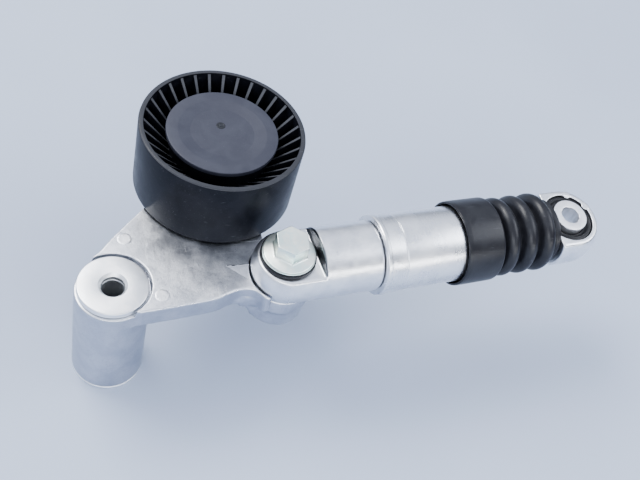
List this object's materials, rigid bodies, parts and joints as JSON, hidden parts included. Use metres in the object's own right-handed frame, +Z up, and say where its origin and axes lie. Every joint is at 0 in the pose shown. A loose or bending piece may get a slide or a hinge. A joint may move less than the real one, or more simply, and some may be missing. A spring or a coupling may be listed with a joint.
{
  "type": "belt tensioner idler",
  "caption": "Hydraulic belt tensioner: cast pivoting arm with a ribbed idler pulley, pushed by a spring-loaded oil strut with rubber bellows.",
  "frame": {"origin": "pivot bolt's axis at the lower end face of the pivot sleeve", "axes": "+Z up the pivot axis towards the bolt head, +X from the pivot axis towards the strut's lower bolt axis"},
  "size_m": [0.2424, 0.101, 0.0922],
  "materials": {
    "cast_aluminium": "grey, rough die-cast skin with brighter edges",
    "machined_aluminium": "satin, turned and brushed",
    "bright_steel": "bright zinc plate, fine turned marks",
    "zinc_plated_steel": "yellowish white zinc plate",
    "bearing_steel": "ground steel",
    "spring_steel": "dark oiled spring wire",
    "bronze": "sintered bronze bush",
    "black_rubber": "matte black rubber",
    "bellows_rubber": "satin black moulded rubber",
    "pulley_plastic": "satin black glass-filled nylon",
    "cap_plastic": "satin dark grey plastic",
    "cage_nylon": "natural nylon"
  },
  "bodies": {
    "pivot": {"pivot_sleeve": "bright_steel", "pivot_head_washer": "bright_steel", "pivot_end_ring": "bright_steel"},
    "arm": {"arm_casting": "cast_aluminium", "pivot_bush_lower": "bronze", "pivot_bush_upper": "bronze", "pivot_seal_lower": "black_rubber", "pivot_seal_upper": "black_rubber", "bearing_spacer": "bearing_steel", "bearing_inner_race": "bearing_steel", "pulley_bolt": "zinc_plated_steel", "strut_lower_sleeve": "bearing_steel", "strut_bolt_washer": "zinc_plated_steel", "strut_bolt": "zinc_plated_steel"},
    "pulley": {"pulley_wheel": "pulley_plastic", "pulley_dust_cap": "cap_plastic", "bearing_outer_race": "bearing_steel", "bearing_seal_lower": "black_rubber", "bearing_seal_upper": "black_rubber"},
    "ball_cage": {"bearing_cage": "cage_nylon", "bearing_ball_1": "bearing_steel", "bearing_ball_2": "bearing_steel", "bearing_ball_3": "bearing_steel", "bearing_ball_4": "bearing_steel", "bearing_ball_5": "bearing_steel", "bearing_ball_6": "bearing_steel", "bearing_ball_7": "bearing_steel", "bearing_ball_8": "bearing_steel"},
    "strut": {"strut_housing": "machined_aluminium", "strut_tube": "machined_aluminium", "strut_lower_bush": "black_rubber", "pressure_cylinder": "bearing_steel", "spring_seat_lower": "bearing_steel", "valve_seat": "bearing_steel", "valve_ball": "bearing_steel", "valve_spring": "spring_steel", "valve_retainer": "bearing_steel", "rod_guide": "bearing_steel", "rod_seal": "black_rubber", "bellows": "bellows_rubber", "main_spring": "spring_steel"},
    "plunger": {"plunger_rod": "bearing_steel", "spring_seat_upper": "bearing_steel"},
    "eye": {"upper_eye": "machined_aluminium", "upper_eye_rubber": "black_rubber"},
    "eye_sleeve": {"upper_eye_sleeve": "bright_steel"}
  },
  "joints": [
    {"name": "arm_pivot", "type": "hinge", "parent": "pivot", "child": "arm", "pos_m": [0, 0, 0.0285], "axis": [0, 0, 1], "range_deg": [-15, 20]},
    {"name": "pulley_spin", "type": "hinge", "parent": "arm", "child": "pulley", "pos_m": [0.0494, 0.0506, 0.07535], "axis": [0, 0, 1], "continuous": true},
    {"name": "cage_spin", "type": "hinge", "parent": "arm", "child": "ball_cage", "pos_m": [0.0494, 0.0506, 0.07535], "axis": [0, 0, 1], "continuous": true},
    {"name": "strut_swing", "type": "hinge", "parent": "arm", "child": "strut", "pos_m": [0.07036, 0, 0.0598], "axis": [0, 0, 1], "range_deg": [-20, 12]},
    {"name": "rod_slide", "type": "slide", "parent": "strut", "child": "plunger", "axis": [0.997, 0.0779, 0], "range_m": [-0.012, 0], "stiffness_N_per_m": 6000, "springref_m": 0.01, "deforming": ["main_spring", "bellows"]},
    {"name": "eye_turn", "type": "hinge", "parent": "plunger", "child": "eye", "pos_m": [0.21013, 0.01093, 0.0598], "axis": [0.997, 0.0779, 0], "range_deg": [-15, 15], "stiffness_Nm_per_rad": 0.5},
    {"name": "sleeve_twist", "type": "hinge", "parent": "eye", "child": "eye_sleeve", "pos_m": [0.21013, 0.01093, 0.0598], "axis": [0.0086, -0.1104, 0.9938], "range_deg": [-12, 12], "stiffness_Nm_per_rad": 6}
  ],
  "couplings": [
    {"joint": "cage_spin", "follows": "pulley_spin", "ratio": 0.6184}
  ]
}
